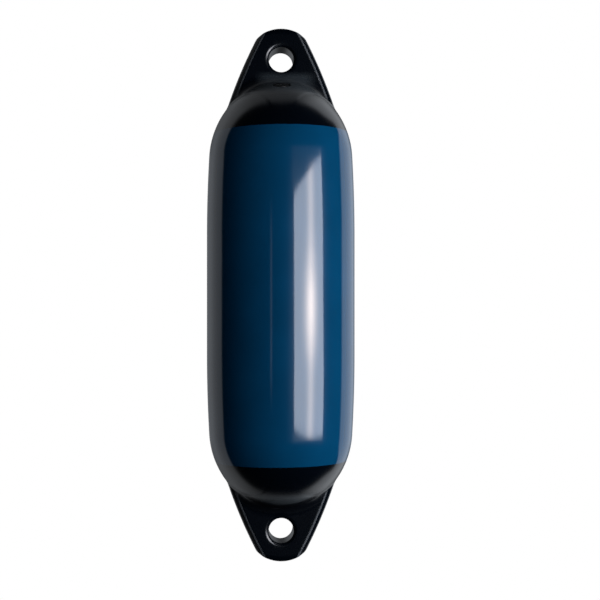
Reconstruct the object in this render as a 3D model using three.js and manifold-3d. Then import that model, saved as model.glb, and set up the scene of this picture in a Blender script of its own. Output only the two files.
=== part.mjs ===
// Inflatable boat fender: one moulded body with a rope eye at each end, and its inflation valve.
// Millimetres. +Z runs along the fender, the origin is at the middle of its length,
// and the flat faces of both rope eyes look along -Y (front) and +Y (back).

import * as THREE from 'three';
import { mergeVertices } from 'three/addons/utils/BufferGeometryUtils.js';
import Module from 'manifold-3d';

const wasm = await Module();
wasm.setup();

// Body
const FENDER_LENGTH = 450; // tip of one eye to tip of the other
const BODY_RADIUS = 63; // inflated barrel
const BARREL_ARC_RADIUS = 1190; // slight swell of the barrel's ends
const BARREL_ARC_ANGLE = 3.3; // degrees that the swell turns through
const SHOULDER_RADIUS = 72; // arc that rounds the shoulder
const SHOULDER_ANGLE = 42.7; // degrees that barrel and shoulder turn through, up to the crown
const UPPER_COLOUR_EDGE = 137.8; // top of the navy band, above the middle
const LOWER_COLOUR_EDGE = 141.1; // foot of the navy band, below the middle

// Rope eyes
const EYE_RISE = 43; // crown top to eye tip
const EYE_THICKNESS = 30; // flat face to flat face
const EYE_TIP_RADIUS = 31; // round end
const EYE_TIP_WIDTH = 42.4; // where the round end meets the flanks
const EYE_ROOT_WIDTH = 90.2; // where the flanks meet the crown
const EYE_FLANK_RADIUS = 420; // slight belly of the flanks
const EYE_CHAMFER = 4.6; // along the flanks, between them and the flat faces
const EYE_ROOT_FILLET = 7.5; // flat faces into the crown
const ROPE_HOLE_TO_TIP = 25.8; // hole centre to eye tip
const ROPE_HOLE_RADIUS = 10.5;
const ROPE_HOLE_RIM_ROUND = 3.25; // soft lip that keeps the rope from chafing

// Inflation valve, in the crown at the foot of the front of the upper eye
const VALVE_TILT = 26; // degrees that its axis leans forward from +Z
const VALVE_RECESS_RADIUS = 7.5;
const VALVE_RECESS_DEPTH = 5;
const INSERT_FLANGE_THICKNESS = 1;
const INSERT_BARREL_RADIUS = 5.6;
const INSERT_BARREL_LENGTH = 12;
const SEAL_THICKNESS = 1;
const PLUG_HEAD_RADIUS = 5.7;
const PLUG_HEAD_HEIGHT = 1.7;
const PLUG_SHANK_RADIUS = 3;
const PLUG_SHANK_LENGTH = 9;
const PLUG_TIP_CHAMFER = 0.8;
const PLUG_HEAD_CHAMFER = 0.4;
const PLUG_SLOT_WIDTH = 1.4;
const PLUG_SLOT_DEPTH = 0.9;
const SEAT_GAP = 0.3; // between a piece and what it seats on or in

// Fineness of the round forms
const BODY_SEGMENTS = 60;
const FILLET_SEGMENTS = 72;
const HOLE_SEGMENTS = 32;
const VALVE_SEGMENTS = 36;
const BARREL_STEPS = 3;
const SHOULDER_STEPS = 6;
const CROWN_STEPS = 8;
const FLANK_STEPS = 7;
const TIP_STEPS = 16;
const FILLET_STEPS = 5;
const CUT_OVERRUN = 2; // how far a cutter runs past what it cuts
const ROOT_BURIAL = 8; // how far the eye's solid carries on below the crown

// Colours from the photograph
const NAVY_PVC = new THREE.MeshStandardMaterial({ color: 0x0b2440, roughness: 0.22, metalness: 0 });
const BLACK_PVC = new THREE.MeshStandardMaterial({ color: 0x0a0a0c, roughness: 0.3, metalness: 0 });
const BLACK_NYLON = new THREE.MeshStandardMaterial({ color: 0x141416, roughness: 0.45, metalness: 0 });
const SEAL_RUBBER = new THREE.MeshStandardMaterial({ color: 0x1c1c1d, roughness: 0.8, metalness: 0 });

const radians = THREE.MathUtils.degToRad;
const halfLength = FENDER_LENGTH / 2;
const halfThickness = EYE_THICKNESS / 2;
const crownTop = halfLength - EYE_RISE;
const holeCentre = halfLength - ROPE_HOLE_TO_TIP;
const tipCentre = halfLength - EYE_TIP_RADIUS;

// Crown: a sphere about the axis that carries on the shoulder arc without a corner
const barrelEnd = radians(BARREL_ARC_ANGLE);
const shoulderEnd = radians(SHOULDER_ANGLE);
const shoulderEndRadius = BODY_RADIUS
  - BARREL_ARC_RADIUS * (1 - Math.cos(barrelEnd))
  - SHOULDER_RADIUS * (Math.cos(barrelEnd) - Math.cos(shoulderEnd));
const crownRadius = shoulderEndRadius / Math.cos(shoulderEnd);
const crownCentre = crownTop - crownRadius;

// Points on an arc in the (radius, height) plane, from one angle to another, both ends included
function arc(centre, radius, from, to, steps) {
  return Array.from({ length: steps + 1 }, (_, i) => {
    const angle = from + ((to - from) * i) / steps;
    return new THREE.Vector2(centre.x + radius * Math.cos(angle), centre.y + radius * Math.sin(angle));
  });
}

// A point on a sphere or arc of the given radius about (0, height), at a distance from the axis
function heightOnCircle(height, radius, distance) {
  return height + Math.sqrt(radius ** 2 - distance ** 2);
}

// Geometry of Three to solid, solid to geometry
function solid(geometry) {
  const bare = geometry.clone();
  bare.deleteAttribute('normal');
  bare.deleteAttribute('uv');
  const merged = mergeVertices(bare, 1e-4);
  const corners = merged.index.array;
  const triVerts = [];
  for (let i = 0; i < corners.length; i += 3) {
    const [a, b, c] = corners.subarray(i, i + 3);
    if (a !== b && b !== c && c !== a) triVerts.push(a, b, c);
  }
  return new wasm.Manifold(new wasm.Mesh({
    numProp: 3,
    vertProperties: Float32Array.from(merged.attributes.position.array),
    triVerts: Uint32Array.from(triVerts),
  }));
}

function geometryOf(form) {
  const { vertProperties, triVerts } = form.getMesh();
  const geometry = new THREE.BufferGeometry();
  geometry.setAttribute('position', new THREE.BufferAttribute(Float32Array.from(vertProperties), 3));
  geometry.setIndex(new THREE.BufferAttribute(Uint32Array.from(triVerts), 1));
  return geometry;
}

// Turned form about +Z, from points (radius, height) in rising order
function turned(points, segments) {
  return new THREE.LatheGeometry(points, segments).rotateX(Math.PI / 2);
}

// Closed skin through sections that all have the same number of points, bottom to top
function loft(sections) {
  const count = sections[0].length;
  const corners = sections.flat();
  const index = [];
  for (let level = 0; level + 1 < sections.length; level += 1) {
    for (let i = 0; i < count; i += 1) {
      const a = level * count + i;
      const b = level * count + ((i + 1) % count);
      index.push(a, b, b + count, a, b + count, a + count);
    }
  }
  const bottom = corners.length;
  const top = bottom + 1;
  const lastLevel = (sections.length - 1) * count;
  corners.push(new THREE.Vector3(0, 0, sections[0][0].z), new THREE.Vector3(0, 0, sections.at(-1)[0].z));
  for (let i = 0; i < count; i += 1) {
    const next = (i + 1) % count;
    index.push(bottom, next, i, top, lastLevel + i, lastLevel + next);
  }
  const geometry = new THREE.BufferGeometry().setFromPoints(corners);
  geometry.setIndex(index);
  return geometry;
}

// Half of the body's profile, from the middle to the crown's top
function upperBodyProfile() {
  const shoulderHeight = crownCentre + (crownRadius - SHOULDER_RADIUS) * Math.sin(shoulderEnd);
  const shoulderCentre = new THREE.Vector2(
    (crownRadius - SHOULDER_RADIUS) * Math.cos(shoulderEnd),
    shoulderHeight,
  );
  const barrelCentre = new THREE.Vector2(
    BODY_RADIUS - BARREL_ARC_RADIUS,
    shoulderHeight + (SHOULDER_RADIUS - BARREL_ARC_RADIUS) * Math.sin(barrelEnd),
  );
  const profile = [
    ...arc(barrelCentre, BARREL_ARC_RADIUS, 0, barrelEnd, BARREL_STEPS),
    ...arc(shoulderCentre, SHOULDER_RADIUS, barrelEnd, shoulderEnd, SHOULDER_STEPS).slice(1),
    ...arc(new THREE.Vector2(0, crownCentre), crownRadius, shoulderEnd, Math.PI / 2, CROWN_STEPS).slice(1),
  ];
  profile.at(-1).x = 0;
  return profile;
}

// Adds the ring of points where the two colours meet
function withColourEdge(profile, edge) {
  const above = profile.findIndex((point) => point.y > edge);
  const low = profile[above - 1];
  const high = profile[above];
  const share = (edge - low.y) / (high.y - low.y);
  return [...profile.slice(0, above), low.clone().lerp(high, share), ...profile.slice(above)];
}

function bodyOfRevolution() {
  const outline = upperBodyProfile();
  const upper = withColourEdge(outline, UPPER_COLOUR_EDGE);
  const lower = withColourEdge(outline, LOWER_COLOUR_EDGE)
    .map((point) => new THREE.Vector2(point.x, -point.y))
    .reverse();
  return turned([...lower, ...upper], BODY_SEGMENTS);
}

// Where the eye's flank meets the crown, and where it meets the round end, as (half width, height)
const flankRoot = new THREE.Vector2(
  EYE_ROOT_WIDTH / 2,
  heightOnCircle(crownCentre, crownRadius, EYE_ROOT_WIDTH / 2),
);
const flankCorner = new THREE.Vector2(
  EYE_TIP_WIDTH / 2,
  heightOnCircle(tipCentre, EYE_TIP_RADIUS, EYE_TIP_WIDTH / 2),
);

// Belly of the flank, from below the crown to above the tip
function flankArc() {
  const chord = flankCorner.clone().sub(flankRoot);
  const inward = new THREE.Vector2(-chord.y, chord.x).normalize();
  const reach = Math.sqrt(EYE_FLANK_RADIUS ** 2 - chord.lengthSq() / 4);
  const centre = flankRoot.clone().add(flankCorner).multiplyScalar(0.5).addScaledVector(inward, reach);
  const angleAt = (height) => Math.asin((height - centre.y) / EYE_FLANK_RADIUS);
  return arc(
    centre,
    EYE_FLANK_RADIUS,
    angleAt(flankRoot.y - ROOT_BURIAL),
    angleAt(halfLength + CUT_OVERRUN),
    FLANK_STEPS,
  );
}

// Space between both flanks and their chamfers, which run on in front of and behind the flat faces
function betweenFlanks() {
  const side = halfThickness - EYE_CHAMFER;
  return loft(flankArc().map(({ x, y: height }) => [
    new THREE.Vector3(x, side, height),
    new THREE.Vector3(0, x + side, height),
    new THREE.Vector3(-x, side, height),
    new THREE.Vector3(-x, -side, height),
    new THREE.Vector3(0, -x - side, height),
    new THREE.Vector3(x, -side, height),
  ]));
}

// Space under the round end, which carries on straight from both corners
function underRoundEnd() {
  const depth = 2 * (halfThickness + EYE_ROOT_FILLET + CUT_OVERRUN);
  const from = Math.atan2(flankCorner.y - tipCentre, flankCorner.x);
  const end = arc(new THREE.Vector2(0, tipCentre), EYE_TIP_RADIUS, from, Math.PI - from, TIP_STEPS);
  const run = EYE_ROOT_WIDTH;
  const slope = new THREE.Vector2(Math.sin(from), -Math.cos(from)).multiplyScalar(run);
  const shape = new THREE.Shape([
    new THREE.Vector2(flankCorner.x + slope.x, crownCentre),
    new THREE.Vector2(flankCorner.x + slope.x, flankCorner.y + slope.y),
    ...end,
    new THREE.Vector2(-flankCorner.x - slope.x, flankCorner.y + slope.y),
    new THREE.Vector2(-flankCorner.x - slope.x, crownCentre),
  ]);
  const block = new THREE.ExtrudeGeometry(shape, { depth, bevelEnabled: false });
  return block.translate(0, 0, -depth / 2).rotateX(Math.PI / 2);
}

// Rolling-ball fillet between the flat faces and the crown: a disc about the Y axis through
// the crown's centre, with hollow flanks that touch the flat face and the sphere
function rootFillet() {
  const sunk = 0.06; // lets the fillet cross both surfaces instead of only touching them
  const ballOffset = halfThickness - sunk + EYE_ROOT_FILLET;
  const ballReach = Math.sqrt((crownRadius - sunk + EYE_ROOT_FILLET) ** 2 - ballOffset ** 2);
  const onSphere = Math.atan2(-ballOffset, -ballReach);
  const hollow = arc(
    new THREE.Vector2(ballReach, ballOffset),
    EYE_ROOT_FILLET,
    onSphere + 2 * Math.PI,
    1.5 * Math.PI,
    FILLET_STEPS,
  );
  const front = hollow.map(({ x, y }) => new THREE.Vector2(x, -y));
  const back = [...hollow].reverse();
  const faceOffset = hollow[0].y;
  const profile = [new THREE.Vector2(0, -faceOffset), ...front, ...back, new THREE.Vector2(0, faceOffset)];
  return new THREE.LatheGeometry(profile, FILLET_SEGMENTS).translate(0, 0, crownCentre);
}

// Cutter for the rope hole, along Y, flared at both mouths
function ropeHoleCutter() {
  const lip = new THREE.Vector2(ROPE_HOLE_RADIUS + ROPE_HOLE_RIM_ROUND, halfThickness - ROPE_HOLE_RIM_ROUND);
  const lastAngle = Math.PI / 2 + radians(12);
  const mouth = arc(lip, ROPE_HOLE_RIM_ROUND, Math.PI, lastAngle, 4);
  const flare = mouth.at(-1).clone().addScaledVector(
    new THREE.Vector2(Math.sin(lastAngle), -Math.cos(lastAngle)),
    CUT_OVERRUN,
  );
  const back = [...mouth, flare, new THREE.Vector2(0, flare.y)];
  const front = back.map(({ x, y }) => new THREE.Vector2(x, -y)).reverse();
  return new THREE.LatheGeometry([...front, ...back], HOLE_SEGMENTS).translate(0, 0, holeCentre);
}

// One rope eye standing on the upper crown, its hole still to be cut
function eyeBlank() {
  const foot = flankRoot.y - ROOT_BURIAL;
  const slab = new THREE.BoxGeometry(2 * EYE_ROOT_WIDTH, EYE_THICKNESS, halfLength + CUT_OVERRUN - foot)
    .translate(0, 0, (halfLength + CUT_OVERRUN + foot) / 2);
  return solid(slab)
    .add(solid(rootFillet()))
    .intersect(solid(betweenFlanks()))
    .intersect(solid(underRoundEnd()));
}

// Puts a form made about +Z, with its zero at the crown's surface, on the valve's axis
function onValveAxis(geometry) {
  return geometry
    .translate(0, 0, crownRadius)
    .rotateX(radians(VALVE_TILT))
    .translate(0, 0, crownCentre);
}

// Depths of the valve's seats below the crown's surface, each from the one under it
const recessFloor = -VALVE_RECESS_DEPTH;
const insertTop = recessFloor + SEAT_GAP + INSERT_FLANGE_THICKNESS;
const insertBottom = recessFloor - INSERT_BARREL_LENGTH;
const sealTop = insertTop + SEAT_GAP + SEAL_THICKNESS;
const headBottom = sealTop + SEAT_GAP;
const headTop = headBottom + PLUG_HEAD_HEIGHT;
const insertBore = PLUG_SHANK_RADIUS + SEAT_GAP;

function valvePocket() {
  const socket = INSERT_BARREL_RADIUS + SEAT_GAP;
  return onValveAxis(turned([
    new THREE.Vector2(0, insertBottom - SEAT_GAP),
    new THREE.Vector2(socket, insertBottom - SEAT_GAP),
    new THREE.Vector2(socket, recessFloor),
    new THREE.Vector2(VALVE_RECESS_RADIUS, recessFloor),
    new THREE.Vector2(VALVE_RECESS_RADIUS, CUT_OVERRUN),
    new THREE.Vector2(0, CUT_OVERRUN),
  ], VALVE_SEGMENTS));
}

function fenderBody() {
  const eye = eyeBlank();
  const hole = solid(ropeHoleCutter());
  const upper = (form) => form;
  const lower = (form) => form.rotate([180, 0, 0]);
  let body = solid(bodyOfRevolution());
  for (const end of [upper, lower]) {
    body = body.add(end(eye)).subtract(end(hole));
  }
  return twoTone(geometryOf(body.subtract(solid(valvePocket()))));
}

// Navy between the two colour edges, black beyond them
function twoTone(geometry) {
  const { array: corners } = geometry.index;
  const { position } = geometry.attributes;
  const middle = [];
  const ends = [];
  for (let i = 0; i < corners.length; i += 3) {
    const triangle = corners.subarray(i, i + 3);
    const height = triangle.reduce((sum, corner) => sum + position.getZ(corner), 0) / 3;
    (height < UPPER_COLOUR_EDGE && height > -LOWER_COLOUR_EDGE ? middle : ends).push(...triangle);
  }
  geometry.setIndex([...middle, ...ends]);
  geometry.addGroup(0, middle.length, 0);
  geometry.addGroup(middle.length, ends.length, 1);
  return geometry;
}

// Flanged, threaded bush that is moulded into the crown
function valveInsert() {
  return onValveAxis(turned([
    new THREE.Vector2(insertBore, insertBottom),
    new THREE.Vector2(INSERT_BARREL_RADIUS, insertBottom),
    new THREE.Vector2(INSERT_BARREL_RADIUS, recessFloor + SEAT_GAP),
    new THREE.Vector2(VALVE_RECESS_RADIUS - SEAT_GAP, recessFloor + SEAT_GAP),
    new THREE.Vector2(VALVE_RECESS_RADIUS - SEAT_GAP, insertTop),
    new THREE.Vector2(insertBore, insertTop),
    new THREE.Vector2(insertBore, insertBottom),
  ], VALVE_SEGMENTS));
}

// Flat sealing ring under the plug's head
function plugSeal() {
  return onValveAxis(turned([
    new THREE.Vector2(insertBore, insertTop + SEAT_GAP),
    new THREE.Vector2(PLUG_HEAD_RADIUS, insertTop + SEAT_GAP),
    new THREE.Vector2(PLUG_HEAD_RADIUS, sealTop),
    new THREE.Vector2(insertBore, sealTop),
    new THREE.Vector2(insertBore, insertTop + SEAT_GAP),
  ], VALVE_SEGMENTS));
}

// Screw plug with a coin slot
function valvePlug() {
  const shankEnd = headBottom - PLUG_SHANK_LENGTH;
  const plug = turned([
    new THREE.Vector2(0, shankEnd),
    new THREE.Vector2(PLUG_SHANK_RADIUS - PLUG_TIP_CHAMFER, shankEnd),
    new THREE.Vector2(PLUG_SHANK_RADIUS, shankEnd + PLUG_TIP_CHAMFER),
    new THREE.Vector2(PLUG_SHANK_RADIUS, headBottom),
    new THREE.Vector2(PLUG_HEAD_RADIUS, headBottom),
    new THREE.Vector2(PLUG_HEAD_RADIUS, headTop - PLUG_HEAD_CHAMFER),
    new THREE.Vector2(PLUG_HEAD_RADIUS - PLUG_HEAD_CHAMFER, headTop),
    new THREE.Vector2(0, headTop),
  ], VALVE_SEGMENTS);
  const slot = new THREE.BoxGeometry(
    2 * (PLUG_HEAD_RADIUS + CUT_OVERRUN),
    PLUG_SLOT_WIDTH,
    PLUG_SLOT_DEPTH + CUT_OVERRUN,
  ).translate(0, 0, headTop + (CUT_OVERRUN - PLUG_SLOT_DEPTH) / 2);
  return onValveAxis(geometryOf(solid(plug).subtract(solid(slot))));
}

function piece(name, geometry, material) {
  const mesh = new THREE.Mesh(geometry, material);
  mesh.name = name;
  return mesh;
}

const fender = new THREE.Group();
fender.add(
  piece('fender_body', fenderBody(), [NAVY_PVC, BLACK_PVC]),
  piece('valve_insert', valveInsert(), BLACK_NYLON),
  piece('plug_seal', plugSeal(), SEAL_RUBBER),
  piece('valve_plug', valvePlug(), BLACK_NYLON),
);

export default fender;
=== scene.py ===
"""Inflatable boat fender with its rope eyes and inflation valve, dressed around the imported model.

Everything is in metres, in the frame of the CAD: +Z runs along the fender, the origin is at the
middle of its length, and the flat faces of both rope eyes look along -Y and +Y.
"""

import math

import bmesh
import bpy
import numpy as np
from bpy.props import FloatProperty, FloatVectorProperty, IntProperty, PointerProperty
from mathutils import Matrix, Vector


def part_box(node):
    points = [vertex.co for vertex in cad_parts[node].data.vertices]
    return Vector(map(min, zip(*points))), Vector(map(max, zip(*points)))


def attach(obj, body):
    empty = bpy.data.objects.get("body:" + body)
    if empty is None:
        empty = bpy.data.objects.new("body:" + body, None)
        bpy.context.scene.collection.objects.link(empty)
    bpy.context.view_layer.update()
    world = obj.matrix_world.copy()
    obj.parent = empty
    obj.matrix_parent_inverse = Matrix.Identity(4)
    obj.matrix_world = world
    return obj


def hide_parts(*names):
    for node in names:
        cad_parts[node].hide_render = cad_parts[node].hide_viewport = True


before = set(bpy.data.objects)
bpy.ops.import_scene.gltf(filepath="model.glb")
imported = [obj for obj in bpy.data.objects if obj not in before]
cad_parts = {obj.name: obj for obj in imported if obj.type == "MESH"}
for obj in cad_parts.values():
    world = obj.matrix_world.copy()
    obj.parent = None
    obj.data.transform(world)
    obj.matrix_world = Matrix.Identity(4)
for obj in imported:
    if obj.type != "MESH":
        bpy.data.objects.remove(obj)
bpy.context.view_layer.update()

bl_info = {
    "name": "Boat fender",
    "version": (1, 0, 0),
    "blender": (4, 5, 0),
    "location": "3D View > Sidebar > Fender",
    "description": "Builds an inflatable boat fender with rope eyes and valve, and its studio",
    "category": "Object",
}

fender_low, fender_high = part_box("fender_body")

# Outline of the body, as in the CAD
BARREL_SWELL_RADIUS = 1.19
BARREL_SWELL_END = math.radians(3.3)
SHOULDER_RADIUS = 0.072
SHOULDER_END = math.radians(42.7)

# Outline of the rope eyes, as in the CAD
EYE_RISE = 0.043
EYE_TIP_RADIUS = 0.031
EYE_TIP_WIDTH = 0.0424
EYE_ROOT_WIDTH = 0.0902
EYE_FLANK_RADIUS = 0.42
ROPE_HOLE_TO_TIP = 0.0258

# The eye's corners beside its tip, and how far its plate runs down into the crown
EYE_CORNER_ROUND = 0.0003
EYE_BURIAL = 0.009

# Heights from the middle between which each change of the finish starts and ends: the crown's dullness,
# and the painted sheen on the crowns and at the upper eye's foot
CROWN_DULL = (0.158, 0.17)
UPPER_SHEEN = (0.164, 0.173)
LOWER_SHEEN = (0.164, 0.1695)
FOOT_SHEEN_TOP = (0.183, 0.1895)

# Depths from front to back where the painted sheen changes, the first at the end of an eye's fillet
FILLET_FOOT = 0.0199
LOWER_SHEEN_DEPTH = (0.0262, 0.029)

# Painted sheen at the foot of the upper eye: its middle along X, and how far it reaches to both sides
FOOT_SHEEN_MIDDLE = 0.004
FOOT_SHEEN_ASIDE = (0.014, 0.028)

# Distances from a rope hole's wall and from a crease over which their finish fades: the lip's roughness,
# and the painted highlight along the crease
HOLE_LIP = (0.002, 0.0034)
CREASE_WIDTH = (0.0004, 0.001)

# How the columns of vertices gather, at the parting line and at the edges of the eyes
SEAM_GATHER = 6
SEAM_GATHER_ANGLE = math.radians(2.2)
EDGE_GATHER = 5
EDGE_GATHER_ANGLE = math.radians(2.4)

# Search for the surface: length of the rays at an eye, and shares of each ray's length
EYE_RAY_LENGTH = 0.11
SEARCH_START = 0.2
SEARCH_END = 1.06
SEARCH_STEPS = 40

# How far a cutter runs past what it cuts
CUTTER_OVERRUN = 0.002

# Seats of the valve, as in the CAD
VALVE_SOCKET_RADIUS = 0.0059
VALVE_SOCKET_DEPTH = 0.0173
BUSH_FLANGE = 0.001
SEAL_THICKNESS = 0.001
SEAT_GAP = 0.0003
PLUG_HEAD_HEIGHT = 0.0017
PLUG_SHANK_RADIUS = 0.003
PLUG_SHANK_LENGTH = 0.009

# Fine forms of the valve that only show up close
BARBS = 3
BARB_START = 0.0025
BARB_SPACING = 0.003
BARB_RISE = 0.0012
BARB_DEPTH = 0.0004
PLUG_TIP_INSET = 0.0008
THREAD_START = 0.001
THREAD_TURNS = 7
THREAD_STEPS = 36
THREAD_DEPTH = 0.0002
THREAD_ROOT = 0.0003
MOULDED_ROUND = 0.00015
SOFT_ROUND = 0.00035
SLOT_ROUND = 0.0002

# Fall of the round crown from the valve's axis to the edge of its recess
CROWN_FALL = 0.0006

# Softbox to the right of the camera: corners as azimuth and height, lamp behind its face
SOFTBOX_FACING = math.radians(47.5)
SOFTBOX_DISTANCE = 0.9
SOFTBOX_CORNERS = ((18.6, -0.286), (66.4, -0.277), (63.0, 0.307), (17.8, 0.229))
LAMP_ASIDE = -0.06
LAMP_TUBE_WIDTH = 0.088
LAMP_TUBE_SHARE = 0.45
LAMP_SPOT_WIDTH = 0.15
LAMP_SPOT_HEIGHT = 0.066

# Soft panel far to the right
SIDE_LIGHT_TURN = math.radians(84)
SIDE_LIGHT_DISTANCE = 1.2
SIDE_LIGHT_HALF_SIZE = 0.35
SIDE_LIGHT_STRENGTH = 5.4

# Shift of the camera's lens, across and up
CAMERA_SHIFT = (0.032, 0.0377)


def length(name, description, default):
    """A size in metres with the units of the scene."""
    return FloatProperty(name=name, description=description, default=default, unit="LENGTH", precision=5)


def colour(name, description, default):
    """A linear colour that a user may change."""
    return FloatVectorProperty(
        name=name, description=description, default=default, subtype="COLOR", size=3, min=0, max=1
    )


class FenderShellSizes(bpy.types.PropertyGroup):
    length: length("Length", "Tip of one rope eye to tip of the other", fender_high.z - fender_low.z)
    radius: length("Radius", "Radius of the inflated barrel", fender_high.x)
    eye_thickness: length("Eye thickness", "Flat face to flat face of a rope eye", 0.03)
    eye_chamfer: length("Eye chamfer", "Chamfer along the flanks of a rope eye, front and back", 0.0046)
    eye_edge_round: length("Eye edge round", "Rounding along the edges of the flat faces", 0.0011)
    eye_root_fillet: length("Eye root fillet", "Hollow rounding from the flat faces to the crown", 0.0075)
    hole_radius: length("Rope hole radius", "Radius of the hole that takes the line", 0.0105)
    hole_rim_round: length("Rope hole rim", "Rounding of the mouths of the rope hole", 0.00325)
    seam_height: length("Parting line height", "How far the mould's parting line stands proud", 0.00016)
    seam_width: length("Parting line width", "Half width of the mould's parting line", 0.00035)
    columns: IntProperty(name="Columns", description="Faces around the barrel", default=240, min=24)


class FenderFinish(bpy.types.PropertyGroup):
    band_colour: colour("Band colour", "Colour of the middle of the body", (0.0008, 0.0325, 0.08))
    end_colour: colour("End colour", "Colour of both ends and rope eyes", (0.0004, 0.0012, 0.0026))
    # Edge highlight colour: a painted highlight along the creases of the rope eyes
    edge_highlight_colour: colour("Edge highlight colour", "Painted highlight along the creases of the rope eyes", (0.058, 0.064, 0.07))
    # Sheen colour: a painted sheen of light on the crowns and at the foot of the rope eyes
    sheen_colour: colour("Sheen colour", "Painted sheen at the foot of the rope eyes", (0.029, 0.036, 0.041))
    nylon_colour: colour("Nylon colour", "Colour of the valve's bush and plug", (0.0015, 0.0018, 0.0022))
    rubber_colour: colour("Rubber colour", "Colour of the valve's seal", (0.012, 0.012, 0.012))
    upper_edge: length("Upper colour edge", "Height of the band's upper edge", 0.1378)
    lower_edge: length("Lower colour edge", "Height of the band's lower edge", -0.1411)
    edge_tilt: FloatProperty(
        name="Edge tilt",
        description="How far both edges of the band lean from level",
        default=math.radians(0.65),
        unit="ROTATION",
    )
    band_roughness: FloatProperty(
        name="Band roughness", description="Roughness of the navy vinyl", default=0.08, subtype="FACTOR"
    )
    end_roughness: FloatProperty(
        name="End roughness", description="Roughness of the black vinyl", default=0.18, subtype="FACTOR"
    )
    crown_roughness: FloatProperty(
        name="Crown roughness",
        description="Roughness of the crown at the foot of an eye",
        default=0.34,
        subtype="FACTOR",
    )


class FenderValveSizes(bpy.types.PropertyGroup):
    tilt: FloatProperty(
        name="Tilt",
        description="Lean of the valve towards the front",
        default=math.radians(26),
        unit="ROTATION",
    )
    recess_radius: length("Recess radius", "Radius of the recess in the crown", 0.0075)
    recess_depth: length("Recess depth", "Depth of the recess in the crown", 0.005)
    recess_rim_round: length("Recess rim", "Softening of the mouth of the recess", 0.0004)
    bush_radius: length("Bush radius", "Radius of the bush's barrel", 0.0056)
    bush_length: length("Bush length", "Length of the bush's barrel", 0.012)
    head_radius: length("Head radius", "Radius of the plug's head", 0.0057)
    slot_width: length("Slot width", "Width of the plug's coin slot", 0.0014)
    slot_depth: length("Slot depth", "Depth of the plug's coin slot", 0.0009)
    thread_pitch: length("Thread pitch", "Rise of the thread for each turn", 0.001)


class FenderStudio(bpy.types.PropertyGroup):
    camera_distance: length("Camera distance", "Distance of the camera from the axis", 1.0827)
    camera_height: length("Camera height", "Height of the camera above the middle", -0.0233)
    camera_azimuth: FloatProperty(
        name="Camera azimuth",
        description="Turn of the camera round the axis",
        default=math.radians(-1.5),
        unit="ROTATION",
    )
    lens: FloatProperty(name="Lens", description="Focal length", default=75.9, unit="CAMERA")
    softbox_strength: FloatProperty(
        name="Softbox strength", description="Radiance of the softbox's face", default=7.4, min=0
    )
    lamp_strength: FloatProperty(
        name="Lamp strength",
        description="Radiance of the lamp behind the softbox's face",
        default=12.8,
        min=0,
    )


class Signal:
    """A socket of a node tree. Sums on it add Math nodes, and node() adds any other node."""

    def __init__(self, tree, socket=None):
        self.tree = tree
        self.socket = socket

    def node(self, kind, settings=None, inputs=None, output=0):
        """Add a node: its settings first, then a value or a link for each of its sockets."""
        made = self.tree.nodes.new(kind)
        for name, value in (settings or {}).items():
            setattr(made, name, value)
        for name, value in (inputs or {}).items():
            if isinstance(value, Signal):
                self.tree.links.new(value.socket, made.inputs[name])
            else:
                made.inputs[name].default_value = value
        return Signal(self.tree, made.outputs[output] if made.outputs else None)

    def math(self, operation, first, second=0.0, clamp=False):
        inputs = {0: first, 1: second}
        return self.node("ShaderNodeMath", {"operation": operation, "use_clamp": clamp}, inputs)

    def __add__(self, other):
        return self.math("ADD", self, other)

    __radd__ = __add__

    def __sub__(self, other):
        return self.math("SUBTRACT", self, other)

    def __rsub__(self, other):
        return self.math("SUBTRACT", other, self)

    def __mul__(self, other):
        return self.math("MULTIPLY", self, other)

    __rmul__ = __mul__

    def __truediv__(self, other):
        return self.math("DIVIDE", self, other)

    def __neg__(self):
        return self.math("SUBTRACT", 0.0, self)

    def step(self, start, end):
        """0 up to start, 1 from end on, and a straight line between them."""
        return self.math("MULTIPLY", self - start, 1 / (end - start), clamp=True)

    def soft_step(self, start, end):
        """0 up to start, 1 from end on, and an S curve between them; either may be a signal."""
        return self.node(
            "ShaderNodeMapRange",
            {"interpolation_type": "SMOOTHSTEP"},
            {"Value": self, "From Min": start, "From Max": end},
        )

    def magnitude(self):
        return self.math("ABSOLUTE", self)

    def beside(self, other):
        """Length of the hypotenuse over this and another signal."""
        return self.math("SQRT", self * self + other * other)

    def bell(self, centre, width):
        """1 at the centre, falling to both sides; the width is where it has fallen to 1/e."""
        away = (self - centre) / width
        return self.math("EXPONENT", away * away * -1.0)

    def split(self):
        """The x, y and z of a vector."""
        return [self.node("ShaderNodeSeparateXYZ", None, {0: self}, axis) for axis in "XYZ"]

    def mix(self, share, first, second, blend="MIX"):
        """Two colours mixed, each a linear colour or a signal."""
        inputs = {"Factor": share}
        for socket, shade in ((6, first), (7, second)):
            inputs[socket] = shade if isinstance(shade, Signal) else (*shade, 1)
        return self.node("ShaderNodeMix", {"data_type": "RGBA", "blend_type": blend}, inputs, 2)


def finish_material(name, build, **constants):
    """New material with one Principled shader: constants on its sockets, links from build."""
    material = bpy.data.materials.new(name)
    material.use_nodes = True
    tree = material.node_tree
    tree.nodes.clear()
    canvas = Signal(tree)
    inputs = {key.replace("_", " "): value for key, value in constants.items()}
    inputs.update(build(canvas))
    shader = canvas.node("ShaderNodeBsdfPrincipled", None, inputs, "BSDF")
    canvas.node("ShaderNodeOutputMaterial", None, {"Surface": shader})
    return material


def object_place(canvas, scale=(1, 1, 1)):
    """Object coordinates, scaled."""
    place = canvas.node("ShaderNodeTexCoord", output="Object")
    return canvas.node("ShaderNodeMapping", None, {"Vector": place, "Scale": scale})


def noise(canvas, place, scale, detail=2.0, roughness=0.5):
    """Noise between 0 and 1 about one half."""
    return canvas.node(
        "ShaderNodeTexNoise",
        None,
        {"Vector": place, "Scale": scale, "Detail": detail, "Roughness": roughness},
        "Fac",
    )


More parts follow.
